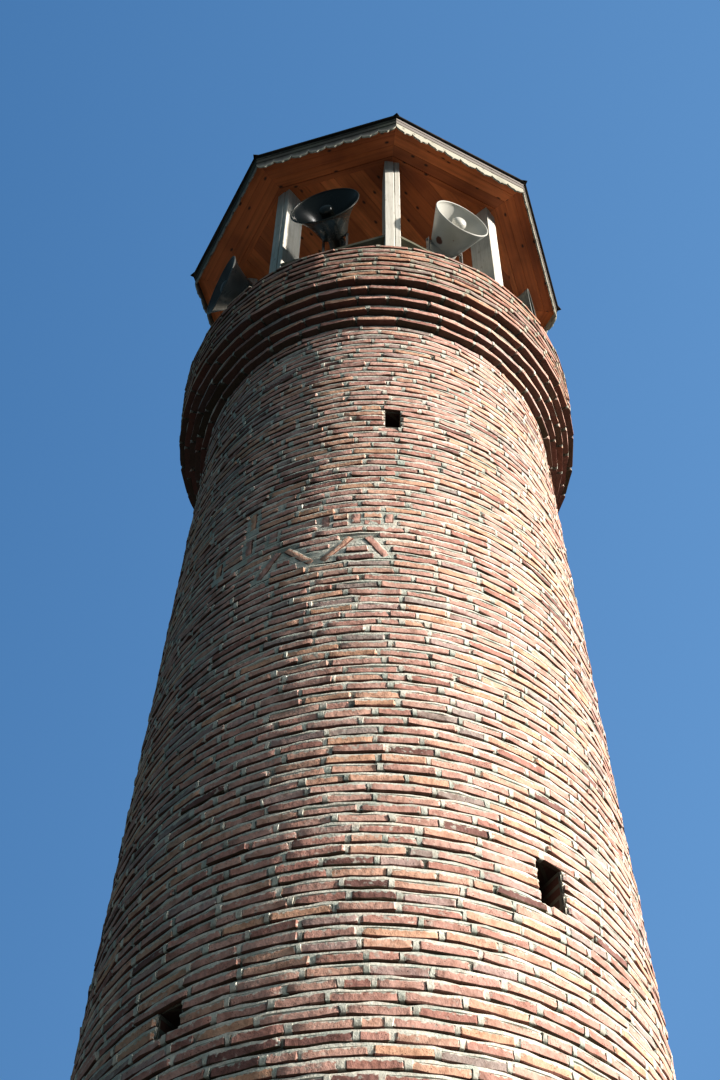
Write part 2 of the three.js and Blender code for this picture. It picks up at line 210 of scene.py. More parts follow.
def wall_finish(name, face, lean_in):
    """Mortar where the distance from the axis is within 6 mm of the outer face, and coursed
    brick further in: the course is the level divided by 64 mm, and the brick is the angle
    times 0.9 m plus the radius, divided by 228 mm, moved on by 0.437 a course. Painted
    shade: the mortar is darkened all over, and everything is darker deeper in and on faces
    that look down."""
    finish, place = new_finish(name)
    x, y, z = (place.part(axis) for axis in "XYZ")
    radius = (x * x + y * y).math("SQRT")
    level = z * (1 / course)
    row = level.math("FLOOR")
    along = (y.math("ARCTAN2", x) * 0.9 + radius) * (1 / 0.228) + row * 0.437
    cell = along.math("FLOOR")
    in_row, in_cell = level - row, along - cell
    gap = in_row.rise(0.64, 0.72).math("MAXIMUM", in_cell.rise(0.90, 0.93))
    tone = place.node("TexWhiteNoise", {"noise_dimensions": "2D"},
                      {"Vector": cell.node("CombineXYZ", None, {0: cell, 1: row})})
    brick = tone.ramp((0.16, 0.075, 0.055), (0.24, 0.11, 0.08), (0.19, 0.11, 0.085))
    upright = radius + z * lean_in
    bare = gap.math("MAXIMUM", upright.rise(face - 0.008, face - 0.004))
    # Painted shade: darker deeper in from the face, in the openings and the bore, and on faces that look
    # down.
    deep_in_shade = upright.rise(face - 0.015, face - 0.12)
    facing_down_shade = place.beside("Normal").part("Z").rise(-0.2, -0.8)
    # The mortar is darkened to about 0.4 of its colour all over: painted shade on the face that lies back
    # behind the bricks.
    wall = brick.tint(mortar_color(place).tint((0.42, 0.4, 0.36), 1.0, "MULTIPLY"), bare)
    wall = wall.tint((0.22, 0.2, 0.18), deep_in_shade.math("MAXIMUM", facing_down_shade), "MULTIPLY")
    return coat(finish, wall, 0.95, place.noise(90, 5) - bare * 0.6, 0.004)


def repaint(starts, finish):
    """Gives a finish to the CAD objects whose names start like this."""
    for name, node in nodes.items():
        if name.startswith(starts):
            node.material_slots[0].material = finish


repaint(("shaft", "doorway"), wall_finish("shaft_masonry", foot_radius, lean))
repaint(("corbel", "parapet"), wall_finish("parapet_masonry", head_inside, 0.0))


# Face bricks: hand-made, about 210 mm by 43 mm, 12 mm proud of the mortar between courses.
# Some are set upright or aslant as a plain pattern, and a ring of them turns the door arch.
def build(name, grids, finish, slot, sharp=45, **marks):
    """A mesh of closed tubes. Each grid is (points, ring): points has the axes copy, row,
    side and xyz; neighbouring rows are joined by quads round the side axis. A ring joins
    its last row to its first, and any other tube is closed by a flat face at each end.
    A mark is a value for each point, in one array or a list of them; the mark grain is a
    pair and becomes a UV map."""
    corners, faces, base = [], {}, 0
    for points, ring in grids:
        copies, rows, sides = points.shape[:3]
        index = base + np.arange(copies * rows * sides).reshape(copies, rows, sides)
        base += index.size
        corners.append(points.reshape(-1, 3))
        beside, last = np.roll(index, -1, 2), rows if ring else rows - 1
        quads = np.stack([index, beside, np.roll(beside, -1, 1), np.roll(index, -1, 1)], -1)[:, :last]
        faces.setdefault(4, []).append(quads.reshape(-1, 4))
        if not ring:
            faces.setdefault(sides, []).extend([index[:, -1], index[:, 0, ::-1]])
    corners = np.concatenate(corners)
    faces = [np.concatenate(group) for group in faces.values()]
    volume = sum(np.einsum("fi,fi->", corners[f[:, 0]], np.cross(corners[f[:, k]], corners[f[:, k + 1]]))
                 for f in faces for k in range(1, f.shape[1] - 1))
    if volume < 0:
        faces = [f[:, ::-1] for f in faces]
    loops = np.concatenate([f.ravel() for f in faces])
    sizes = np.concatenate([np.full(len(f), f.shape[1]) for f in faces])
    mesh = bpy.data.meshes.new(name)
    mesh.vertices.add(len(corners))
    mesh.vertices.foreach_set("co", corners.ravel())
    mesh.loops.add(len(loops))
    mesh.loops.foreach_set("vertex_index", loops.astype(np.int32))
    mesh.polygons.add(len(sizes))
    mesh.polygons.foreach_set("loop_start", (np.cumsum(sizes) - sizes).astype(np.int32))
    mesh.update(calc_edges=True)
    mesh.polygons.foreach_set("use_smooth", np.ones(len(sizes), bool))
    mesh.set_sharp_from_angle(angle=math.radians(sharp))
    for mark, values in marks.items():
        if isinstance(values, list):
            values = np.concatenate([part.ravel() for part in values])
        if mark == "grain":
            layer = mesh.uv_layers.new(name="grain")
            layer.uv.foreach_set("vector", values.reshape(-1, 2)[loops].ravel())
        else:
            layer = mesh.attributes.new(mark, "FLOAT", "POINT")
            layer.data.foreach_set("value", np.ascontiguousarray(values, np.float32).ravel())
    mesh.materials.append(finish)
    piece = bpy.data.objects.new(name, mesh)
    show(piece)
    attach(piece, "root")
    return piece


def head_grime(place):
    """0 on the shaft and the corbel, 1 on the parapet, which is darker."""
    return place.part("Z").rise(11.72, 11.84)


brick_finish, place = new_finish("hand_made_brick")
tone, high, ends = (place.mark(name) for name in ("tone", "high", "ends"))
clay = tone.ramp((0.19, 0.105, 0.095), (0.4, 0.21, 0.175), (0.49, 0.29, 0.245), (0.54, 0.34, 0.29),
                 (0.6, 0.365, 0.25), (0.46, 0.32, 0.295), (0.32, 0.27, 0.25))
clay = clay.tint((0.73, 0.68, 0.65), place.clouds(22, 5, 0.42, 0.72), "MULTIPLY")
pits = place.clouds(170, 3, 0.60, 0.68) * place.clouds(15, 3, 0.42, 0.62)
torn = place.noise(48, 4)
smear = (high * 0.9 + torn).rise(1.28, 1.42).math("MAXIMUM", (ends * 2.4 + torn).rise(2.84, 2.97))
patches = place.clouds(34, 5, 0.57, 0.70) * place.clouds(5, 2, 0.40, 0.65) * 0.8
lime = smear.math("MAXIMUM", patches) * 0.85
clay = clay.tint((0.07, 0.04, 0.035), pits * 0.85).tint(mortar_color(place), lime)
# Painted shade under each brick: its underside and the foot of its face are tinted dark, in a colour that
# follows the brick's tone.
underside_shade = tone.ramp((0.05, 0.036, 0.02), (0.058, 0.034, 0.022), (0.095, 0.03, 0.023),
                    (0.07, 0.036, 0.028))
clay = clay.tint(underside_shade, 0.92 - high.rise(0.0, 0.07) * 0.92)
grime = head_grime(place) * (0.40 + place.clouds(9, 5, 0.35, 0.65) * 0.45)
clay = clay.tint((0.7, 0.62, 0.56), grime, "MULTIPLY")
rough = place.noise(45, 6) * 1.4 + place.noise(240, 3) * 0.35 - pits * 0.5
coat(brick_finish, clay, 0.9, rough, 0.004, gloss=0.3)

# Courses count from the ground: the first of the corbel, of the parapet and of its thin top.
corbel_row, parapet_row, top_row = 180, 184, 191
corbel_step, parapet_lean = 0.042, 0.0354
brick_pitch, brick_reach, joint_width = 0.226, 0.0205, 0.013
dice = np.random.default_rng(1211)


def face_radius(level):
    """Distance of the masonry's outer face from the axis, by level in metres: the shaft's
    tapers by the lean, the corbel's grows a step a course, and the parapet's flares."""
    shaft = foot_radius - lean * level
    steps = np.floor((level - corbel_row * course) / course + 0.01) + 1
    corbel = foot_radius - lean * corbel_row * course + corbel_step * np.clip(steps, 0, 5)
    flare = np.clip(level - parapet_row * course, 0, 1) * parapet_lean
    return np.where(level < corbel_row * course - 0.001, shaft, corbel + flare)


def stepped_out(row):
    """Whether a course steps out over the one below: the corbel's and the parapet's first."""
    return (row >= corbel_row) & (row <= parapet_row)


def sway(row, angle):
    """How far a course wanders from level: three waves round the tower that drift from
    course to course, fading out at the ground and to a quarter at the corbel."""
    fade = np.clip(row / 6, 0, 1) * np.clip((corbel_row + 2 - row) / 6, 0.25, 1)
    waves = np.sin(3 * angle + 0.31 * row) + 0.7 * np.sin(7 * angle - 0.17 * row)
    return 0.0034 * fade * (waves + 0.6 * np.sin(13 * angle + 0.11 * row))


def round_tower(angle, out, along, level):
    """Points at an angle round the axis, out along the radius and then along the tangent."""
    cos, sin = np.cos(angle), np.sin(angle)
    return np.stack([out * cos - along * sin, out * sin + along * cos, level], -1)


def shaped_bricks(angle, level, radius, half, rise, tilt, back=0.014):
    """Closed bricks as tubes of six rows along the length and six sides round the section.
    A corner lies at the centre plus along times the tangent, up times the vertical and out
    times the radial direction, the first two turned by the tilt, with worn random corners."""
    along = np.array([-1, -0.91, -0.4, 0.4, 0.91, 1])[:, None]
    shrink = 0.0055 * np.array([1, 0, 0, 0, 0, 1])[:, None]
    out = np.array([-1, -0.0022, 0, 0, -0.0035, -1])
    up = np.array([-0.97, -1, -0.88, 0.80, 1, 0.97])
    count = len(angle)
    half, rise, tilt, back = (np.broadcast_to(v, count)[:, None, None] for v in (half, rise, tilt, back))
    out = np.where(out < -0.5, -back, out - shrink)
    worn = dice.normal(0, 0.0018, (3, count, 6, 6))
    bow = dice.normal(0, 0.0012, (count, 1, 1)) * (along**2 - 0.5)
    s = along * half + worn[0]
    h = up * (rise - shrink) + worn[1] + bow
    r = radius[:, None, None] + out + worn[2] * 0.8
    s, h = s * np.cos(tilt) - h * np.sin(tilt), s * np.sin(tilt) + h * np.cos(tilt)
    return round_tower(angle[:, None, None], r, s, level[:, None, None] + h)


def brick_marks(tone):
    """Marks of the bricks' points: the brick's own tone, 0 at its foot to 1 at its head, and
    0 to 1 towards its ends."""
    count = len(tone)
    return {"tone": np.repeat(tone, 36), "high": np.tile([0, 0, 0, 1, 1, 1], 6 * count),
            "ends": np.tile(np.repeat([1, 0.95, 0.4, 0.4, 0.95, 1], 6), count)}


# Each set brick: degrees and course of one end, then of the other, and thickness in metres.
set_bricks = np.array([
    (240.2, 137.3, 245.8, 140.2, 0.045), (247.7, 140.2, 254.6, 137.3, 0.045),
    (257.0, 137.3, 264.1, 140.2, 0.045), (268.0, 140.2, 272.6, 137.3, 0.045),
    (243.4, 142.3, 243.4, 143.7, 0.048), (257.3, 142.3, 257.3, 143.8, 0.050),
    (265.1, 142.3, 265.1, 143.8, 0.050), (273.3, 142.3, 273.3, 143.7, 0.046),
    (226.3, 141.8, 226.3, 143.6, 0.045), (236.5, 145.5, 236.5, 148.4, 0.044),
    (236.2, 142.1, 236.2, 144.4, 0.045), (238.8, 147.5, 243.9, 147.5, 0.042),
])
start_angle, start_row, end_angle, end_row, set_thickness = set_bricks.T
start_angle, end_angle = np.radians(start_angle), np.radians(end_angle)
set_level = (start_row + end_row) / 2 * course
set_angle = (start_angle + end_angle) / 2
run = (end_angle - start_angle) * face_radius(set_level)
climb = (end_row - start_row) * course
pattern = shaped_bricks(set_angle, set_level, face_radius(set_level) + 0.0200, np.hypot(run, climb) / 2,
                        set_thickness / 2, np.arctan2(climb, run))
build("pattern_bricks", [(pattern, False)], brick_finish, "brickwork",
      **brick_marks(dice.uniform(0.35, 0.75, len(set_bricks))))

# Door arch at the back: nineteen bricks on edge round a half circle over the doorway, whose
# sill and spring are course numbers. The courses stop 26 mm outside the arch.
door_turn, door_half, door_sill, door_spring = math.pi / 2, 0.34, 2, 26
arch_bricks, arch_depth, arch_half_brick = 19, 0.21, 0.0225
arch_reach = door_half + arch_depth + 0.03
fan = np.radians((np.arange(arch_bricks) + 0.5) * 180 / arch_bricks)
arch_middle = door_half + 0.004 + arch_depth / 2
arch_level = door_spring * course + arch_middle * np.sin(fan)
arch_face = face_radius(arch_level)
arch_angle = door_turn - np.arcsin(arch_middle * np.cos(fan) / arch_face)
arch = shaped_bricks(arch_angle, arch_level, arch_face + 0.0195, arch_depth / 2, arch_half_brick,
                     np.arctan2(np.sin(fan), -np.cos(fan)))
build("door_arch_bricks", [(arch, False)], brick_finish, "brickwork",
      **brick_marks(dice.uniform(0.1, 0.8, arch_bricks)))

# Courses of face bricks: each stops at the light slits, the doorway and the set bricks, and
# fills what is left with bricks of random length. A slit is its centre, width in metres,
# first course and number of courses.
slits = ((math.radians(274.7), 0.090, 159, 3), (math.radians(304.6), 0.132, 102, 4),
         (math.radians(233.3), 0.120, 92, 2))


def openings(row):
    """Arcs of a course that lie in a light slit, the doorway or its arch, in radians."""
    face = float(face_radius(row * course))
    arcs = [(centre, width / 2) for centre, width, first, count in slits if first <= row < first + count]
    above = (row + 0.35) * course - door_spring * course
    if door_sill <= row < door_spring:
        arcs.append((door_turn, door_half))
    elif 0 <= above < arch_reach:
        arcs.append((door_turn, math.sqrt(arch_reach**2 - above**2)))
    return [(centre - math.asin(half / face), centre + math.asin(half / face)) for centre, half in arcs]


def taken(row):
    """Arcs of a course that a set brick crosses, with a mortar joint on each side."""
    arcs = []
    for low, high, a, b in zip(start_row, end_row, start_angle, end_angle):
        if high < low:
            low, high, a, b = high, low, b, a
        if low == high:
            low, high = low - 0.33, high + 0.33
            cut = [a, b] if low < row + 0.69 and high > row else []
        else:
            ends = np.clip((np.array([row - 0.2, row + 0.9]) - low) / (high - low), 0, 1)
            cut = list(a + (b - a) * ends) if ends[0] < ends[1] else []
        if cut:
            margin = (0.034 if a == b else 0.036) / float(face_radius(row * course))
            arcs.append((min(cut) - margin, max(cut) + margin))
    return arcs


def free_arcs(shut):
    """What is left of the full turn outside the shut arcs, as start, end and whether whole."""
    if not shut:
        begin = dice.uniform(0, 0.2)
        return [(begin, begin + 2 * math.pi, True)]
    shut = sorted(shut)
    ends = [b for _, b in shut]
    starts = [a for a, _ in shut[1:]] + [shut[0][0] + 2 * math.pi]
    return [(a, b, False) for a, b in zip(np.maximum.accumulate(ends), starts) if b - a > 0.04]


def course_bricks(row):
    """Brick centres and half lengths round a course, and the same of the upright joints
    between them: random lengths about 210 mm, some half bricks, scaled to fill each free
    arc exactly."""
    face = float(face_radius(row * course))
    found, joints = [], []
    for begin, end, whole in free_arcs(openings(row) + taken(row)):
        count = max(1, round((end - begin) * face / brick_pitch))
        lengths = np.clip(dice.normal(1, 0.12, count), 0.7, 1.35)
        lengths[dice.random(count) < 0.10] *= 0.55
        edges = begin + (end - begin) * np.concatenate([[0], np.cumsum(lengths)]) / lengths.sum()
        spare = np.clip(dice.normal(joint_width, 0.005, count), 0.005, 0.028)
        found.append(np.stack([(edges[1:] + edges[:-1]) / 2, (np.diff(edges) * face - spare) / 2]))
        gap = (spare + np.roll(spare, 1)) / 4 + 0.003
        joints.append(np.stack([edges[:-1], gap])[:, 0 if whole else 1:])
    return np.concatenate(found, 1), np.concatenate(joints, 1)


# name, first course, one past the last course
tiers = (("base", 0, 36), ("middle", 36, 108), ("upper", 108, corbel_row),
         ("corbel", corbel_row, parapet_row), ("parapet", parapet_row, top_row + 1))
pointing = {}
for name, first, last in tiers:
    rows, joints = zip(*[course_bricks(row) for row in range(first, last)])
    number, joint_number = (np.repeat(range(first, last), [found.shape[1] for found in group])
                            for group in (rows, joints))
    pointing[name] = joint_number, *np.concatenate(joints, 1)
    angle, half = np.concatenate(rows, 1)
    count, stepped = len(angle), stepped_out(number)
    height = (np.where(number == top_row, 0.027, brick_height)
              + np.clip(dice.normal(0, 0.0024, count), -0.006, 0.003) + 0.004 * stepped)
    level = (number * course + height / 2 + sway(number, angle)
             + dice.normal(0, 0.0009, count) * (number > 0) - 0.0065 * stepped)
    back = np.where(stepped, 0.054, 0.018)
    reach = np.maximum(brick_reach - half**2 / (4 * 1.2) + dice.normal(0, 0.0024, count), 0.0145)
    tilt = dice.normal(0, 0.0085, count) * (number > 0) * (number < top_row)
    level = np.maximum(level, height / 2 + 0.006)
    radius = face_radius(number * course + 0.001) + reach
    bricks = shaped_bricks(angle, level, radius, half, height / 2, tilt, back)
    tone = np.clip(0.48 + dice.normal(0, 0.19, count), 0, 1)
    odd = dice.random(count) < 0.10
    tone[odd] = dice.choice([0.02, 0.86, 0.98], odd.sum())
    build("bricks_" + name, [(bricks, False)], brick_finish, "brickwork", 30, **brick_marks(tone))


# Lime mortar: each bed is struck flush with the brick below and slopes back under the
# next one; round the set bricks it is pointed full and wide.
mortar_finish, place = new_finish("lime_mortar")
pointed = mortar_color(place).tint((0.46, 0.33, 0.27), place.clouds(31, 4, 0.46, 0.66) * 0.3)
# Painted shade: dark where the mark is low, in the deep parts of each joint behind the bricks and under the
# brick above.
pointed = pointed.tint((0.06, 0.055, 0.042), 0.8 - place.mark("high").rise(0.0, 0.5) * 0.8)
pointed = pointed.tint((0.74, 0.7, 0.65), head_grime(place), "MULTIPLY")
coat(mortar_finish, pointed, 0.96, place.noise(75, 6) + place.noise(420, 2) * 0.3, 0.0045, gloss=0.25)


def bed(row, begin, end, columns, whole, sill=False):
    """One course's mortar as rows of five corners: face foot, face head, lip foot, lip head
    and back, at radii and levels that wander a little from column to column. The face lies
    back behind the bricks. A sill stops at the brick's top, under a slit. The corners'
    marks come with them: 0 where the joint is deep and painted dark as shade, 1 where it
    is left unshaded."""
    angle = np.linspace(begin, end, columns, endpoint=not whole)
    level = row * course + sway(row, angle)
    face = face_radius(row * course + 0.001)
    gap = (angle[:, None] - set_angle) * face / 0.15
    rise = ((row + 0.9) * course - set_level) / 0.11
    full = np.exp(-gap**2 - rise**2).max(1) > 0.38
    wander = dice.normal(0, 1, (2, columns))
    lip = np.where(full, 0.0165, np.clip(0.0148 + 0.0034 * wander[0], 0.005, 0.0195))
    out, top = 0.0176 + 0.0018 * wander[1], 0.0215
    if sill:
        lip, top = lip * 0, 0.0005
    foot, head = level + (0.0035 if row else 0.0045), level + brick_height
    radius = np.stack([face + np.where(full, 0.0155, 0.007), face + np.where(full, 0.0160, 0.009), face + out,
                       face + out - 0.0028, face + np.where(full, 0.0140, -0.005)])
    height = np.stack([foot, head - 0.004, head, head + lip, head + top])
    unshaded = np.where(full[:, None], (0.6, 1.0, 1.0, 0.9, 0.4), (0.0, 0.4, 1.0, 0.8, 0.0))
    return round_tower(angle, radius, 0, height).transpose(1, 0, 2)[None], unshaded


def upright_joints(number, angle, half):
    """Mortar between brick ends, squeezed out nearly flush: tubes of two rows and six sides,
    like the bricks, with small random offsets at every corner."""
    each, corners = (len(number), 1, 1), (len(number), 2, 6)
    number, angle, half = (v[:, None, None] for v in (number, angle, half))
    level, wave, stepped = number * course, sway(number, angle), stepped_out(number)
    foot = level + wave + 0.002 * stepped + 0.001 + 0.004 * (number == 0)
    head = level + np.where(number == top_row, 0.026, brick_height + 0.002) + wave
    hollow = dice.random(each) < 0.08
    out = np.where(hollow, 0.004, np.clip(dice.normal(0.0223, 0.0022, each), 0.013, 0.0250))
    half = half * dice.uniform(0.8, 1.4, each)
    side = np.array([[-1], [1]]) * half + dice.normal(0, 0.0022, corners)
    depth = (out - 0.002 * stepped + np.array([-0.024, -0.006, -0.001, 0, -0.002, -0.024])
             + dice.normal(0, 0.0007, corners))
    up = np.array([0, 0.02, 0.14, 0.85, 1, 1]) + dice.normal(0, 0.02, corners)
    height = foot + (head - foot) * up
    return round_tower(angle, face_radius(level + 0.001) + depth, side, height)


slit_feet = [first for _, _, first, _ in slits]
for name, first, last in tiers:
    beds, marks = [], []
    for row in range(first, min(last, top_row)):
        over_slit = openings(row + 1) if row + 1 in slit_feet else []
        runs = [(*arc, False) for arc in free_arcs(openings(row) + over_slit)]
        for begin, end, whole, sill in runs + [(*arc, False, True) for arc in over_slit]:
            points, unshaded = bed(row, begin, end, max(4, round((end - begin) * 20.4)), whole, sill)
            beds.append((points, whole))
            marks.append(unshaded)
    number, angle, half = pointing[name]
    beds.append((upright_joints(number, angle, half), False))
    # Each joint's marks run from 0 at its foot and back to 1 up its face: painted shade under the brick
    # above, scaled by a random amount for each joint.
    light = np.repeat(dice.uniform(0.4, 1, len(number)), 12)
    marks.append(np.tile([0, 0.1, 0.6, 1, 1, 1], 2 * len(number)) * light)
    build("mortar_" + name, beds, mortar_finish, "brickwork", 60, high=marks)

# Weathered mortar bed over the parapet's thin top course, trowelled off uneven.
parapet_top, cap_columns, cap_width = 12.256, 160, 0.05
angle = np.linspace(0, 2 * math.pi, cap_columns, endpoint=False)
crest = 0.0012 * np.sin(5 * angle + 1) + dice.normal(0, 0.0012, cap_columns)
wander = np.zeros((5, cap_columns))
wander[2:4] = dice.normal(0, 0.001, (2, cap_columns))
out = np.array([[-cap_width], [0.001], [0.003], [0.002], [-cap_width]])
radius = face_radius(top_row * course) + out + wander
height = np.array([[-0.034], [-0.034], [-0.010], [-0.004], [0.001]]) + crest * [[0], [0], [1], [1], [1]]
cap = round_tower(angle, radius, 0, parapet_top + height).transpose(1, 0, 2)[None]
build("parapet_mortar_cap", [(cap, True)], mortar_finish, "brickwork", 60,
      high=np.full(cap[..., 0].size, 0.6))

# Floors: worn brick paving in running bond, at the foot of the shaft and in the gallery.
paving, place = new_finish("brick_paving")
bond = place.node("TexBrick", {"offset": 0.5}, {
    "Vector": place, "Color1": (0.30, 0.20, 0.15, 1), "Color2": (0.42, 0.29, 0.21, 1),
    "Mortar": (0.50, 0.47, 0.40, 1), "Scale": 1.0, "Mortar Size": 0.006, "Brick Width": 0.22,
    "Row Height": 0.11})
worn = bond.tint((0.5, 0.46, 0.42), place.clouds(12, 5, 0.4, 0.7) * 0.6, "MULTIPLY")
coat(paving, worn, 0.85, place.noise(60, 5) * 0.5 - bond.beside("Fac"), 0.004)
repaint(("ground_floor", "gallery_floor"), paving)


# Posts: two softwood boards nailed side by side, painted cream white, on the parapet.
# The joint between them shows as a groove right of the middle.
def planks(left, right, low, high, begin, end, rows, chamfer):
    """Boards as tubes of eight sides: a rectangle with chamfered corners, from left to
    right across and from low to high in thickness, carried from begin to end along the
    grain, which may each be a function of the distance across. The axes are along,
    across, thickness; left and right may be arrays, one value for each board."""
    left, right = np.atleast_1d(left)[:, None], np.atleast_1d(right)[:, None]
    c = chamfer
    over = np.concatenate([left + c, right - c, right, right, right - c, left + c, left, left], 1)
    rise = np.array([low, low, low + c, high - c, high, high, high - c, low + c])
    first = begin(over) if callable(begin) else np.full_like(over, begin)
    last = end(over) if callable(end) else np.full_like(over, end)
    step = np.linspace(0, 1, rows)[None, :, None]
    along = first[:, None] + (last - first)[:, None] * step
    points = np.stack(np.broadcast_arrays(along, over[:, None], rise), -1)
    shift = dice.uniform(0, 9, (len(points), 1, 1, 2))
    return points, points[..., :2] + shift


upward = (0, 0, 1)
corner_turn, half_turn = math.radians(5.6), math.pi / 8
side_slope = math.tan(half_turn)


def side_axes(eighths):
    """The outward and the sideways direction, this many eighths of a turn past post 1."""
    a = corner_turn + eighths * math.pi / 4
    return np.array((math.cos(a), math.sin(a), 0)), np.array((-math.sin(a), math.cos(a), 0))


def aimed(points, along, across, up, origin=(0, 0, 0)):
    """Points given in a board's own axes, as points in the tower's frame."""
    return points @ np.array([along, across, up], float) + np.array(origin, float)


def wood_grain(finish, place):
    """Noise drawn out thirty to one along the grain, and small knots: the dark centres of
    Voronoi cells, where the cell's own random value is high."""
    uv = place.node("UVMap", {"uv_map": "grain"})
    streaks = uv.times(1.6, 46, 1).noise(1, 6)
    fine = uv.times(9, 260, 1).noise(1, 3)
    cells = uv.node("TexVoronoi", {"voronoi_dimensions": "2D"},
                    {"Vector": uv.times(4.5, 8, 1), "Scale": 1.0}, "Distance")
    chosen = cells.node("SeparateColor", None, {0: cells.beside("Color")}).rise(0.38, 0.43)
    return streaks, fine, (1 - cells.rise(0.03, 0.11)) * chosen


white_finish, place = new_finish("cream_paint")
streaks, fine, knot = wood_grain(white_finish, place)
paint = streaks.rise(0.3, 0.75).ramp((0.61, 0.6, 0.55), (0.5, 0.485, 0.43))
paint = paint.tint((0.25, 0.235, 0.19), fine.rise(0.55, 0.70) * 0.55).tint((0.3, 0.25, 0.18), knot * 0.5)
paint = paint.tint((0.26, 0.26, 0.21), place.clouds(4, 4, 0.54, 0.75) * 0.45)
coat(white_finish, paint, 0.6, streaks * 0.6 + fine * 0.5, 0.0016)

soffit_level, post_half, post_inner, post_outer = 14.314, 0.0575, 0.982, 1.167
post_boards = ((-post_half, 0.0135, post_inner, post_outer),
               (0.0165, post_half, post_inner + 0.002, post_outer - 0.004))
for k in range(8):
    outward, sideways = side_axes(k)
    boards, grains = [], []
    for left, right, inner, outer in post_boards:
        points, grain = planks(inner, outer, left, right, parapet_top, soffit_level, 7, 0.004)
        points[..., 1:] += dice.normal(0, 0.0006, points[..., 1:].shape)
        boards.append((aimed(points, upward, outward, sideways), False))
        grains.append(grain + points[..., 2:] * (0, 1))
    post = build(f"timber_post_{k + 1}", boards, white_finish, "white_paint", 30, grain=grains)
    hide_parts(f"post_{k + 1}")

# Rails: bare softwood gone green-grey, let in between the posts at hand height.
rail_finish, place = new_finish("weathered_rail")
cloud = place.clouds(5, 4, 0.35, 0.7)
weather = cloud.ramp((0.075, 0.078, 0.055), (0.12, 0.12, 0.085), (0.16, 0.15, 0.11))
weather = weather.tint((0.04, 0.042, 0.03), place.times(9, 9, 240).noise(1, 4).rise(0.55, 0.7) * 0.6)
coat(rail_finish, weather, 0.9, place.times(14, 14, 300).noise(1, 5), 0.002)
repaint("rail", rail_finish)

# Ceiling: narrow pine boards side by side, stained orange-brown, all running one way over
# the posts, with a shallow groove at each joint.
pine_finish, place = new_finish("stained_pine")
streaks, fine, knot = wood_grain(pine_finish, place)
stain = place.mark("tone").ramp((0.47, 0.128, 0.038), (0.65, 0.18, 0.05), (0.7, 0.205, 0.06),
                                (0.86, 0.265, 0.082))
stain = stain.tint((0.5, 0.4, 0.34), streaks.rise(0.35, 0.75) * 0.5, "MULTIPLY")
stain = stain.tint((0.6, 0.55, 0.5), place.clouds(2.5, 3, 0.42, 0.68) * 0.8, "MULTIPLY")
stain = stain.tint((0.12, 0.032, 0.01), fine.rise(0.55, 0.75) * 0.2).tint((0.03, 0.011, 0.005), knot * 0.92)
coat(pine_finish, stain, 0.5, streaks * 0.5 + fine * 0.4 - knot * 0.4, 0.0014)

frame_apothem, board_thickness, board_gap = 1.0782, 0.025, 0.0003
corner_radius = (frame_apothem - board_gap) / math.cos(half_turn)


def octagon_reach(distance):
    """Half width of the octagon at a distance from the diagonal the boards run along: the
    outline falls straight from one corner to the next."""
    corner = np.arange(5) * math.pi / 4
    return np.interp(distance, -np.cos(corner) * corner_radius, np.sin(corner) * corner_radius)


edges = np.linspace(-corner_radius + 0.004, corner_radius - 0.004, 22)
points, grain = planks(edges[:-1] + board_gap, edges[1:] - board_gap, soffit_level,
                       soffit_level + board_thickness, lambda v: -octagon_reach(v), octagon_reach, 2, 0.0014)
outward, sideways = side_axes(1)
boards = [(aimed(points, outward, sideways, upward), False)]
ceiling = build("ceiling_boards", boards, pine_finish, "pine", 20, grain=grain,
                tone=np.repeat(dice.random(len(points)), 16))
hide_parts("ceiling")

# Soffit: boards of the same pine laid parallel to each eave and mitred on the hips, with
# a lath along the line of the posts: the innermost board, whose face hangs 6 mm lower.
eave_apothem = 1.512 * math.cos(half_turn)
fascia_face, fascia_back = eave_apothem - 0.015, eave_apothem - 0.037
soffit_edges = np.array([frame_apothem, 1.120, 1.205, 1.285, fascia_back - board_gap])


def mitre(distance):
    """Half length of a side of the octagon at this distance from the axis, less a saw cut."""
    return (distance - 0.001) * side_slope


boards, grains, tones = [], [], []
for k in range(8):
    outward, sideways = side_axes(k + 0.5)
    points, grain = planks(soffit_edges[:-1] + board_gap, soffit_edges[1:] - board_gap, soffit_level,
                           soffit_level + board_thickness, lambda v: -mitre(v), mitre, 2, 0.0013)
    points[0, :, [0, 1, 2, 7], 2] -= 0.006
    boards.append((aimed(points, sideways, outward, upward), False))
    grains.append(grain)
    tones.append(np.repeat(dice.random(4), 16))
soffit = build("soffit_boards", boards, pine_finish, "pine", 20, grain=grains, tone=tones)
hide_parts("soffit")

# Fascia: two thin plain boards along the eave, nailed over a valance board whose lower edge
# is sawn into tongues that end in small points; the paint has gone grey and streaky.
fascia_finish, place = new_finish("weathered_and_shaded_fascia_paint")
streaks, fine, knot = wood_grain(fascia_finish, place)
paint = place.mark("tone").ramp((0.02, 0.018, 0.015), (0.11, 0.1, 0.085), (0.23, 0.205, 0.195),
                                (0.42, 0.41, 0.34))
paint = paint.tint((0.13, 0.12, 0.095), fine.rise(0.52, 0.68) * 0.6)
paint = paint.tint((0.15, 0.16, 0.115), place.clouds(4, 5, 0.45, 0.72) * 0.6)
paint = paint.tint((0.1, 0.095, 0.075), place.clouds(19, 4, 0.58, 0.70) * 0.6 + knot * 0.3)
coat(fascia_finish, paint, 0.7, streaks * 0.6 + fine * 0.5, 0.0016)

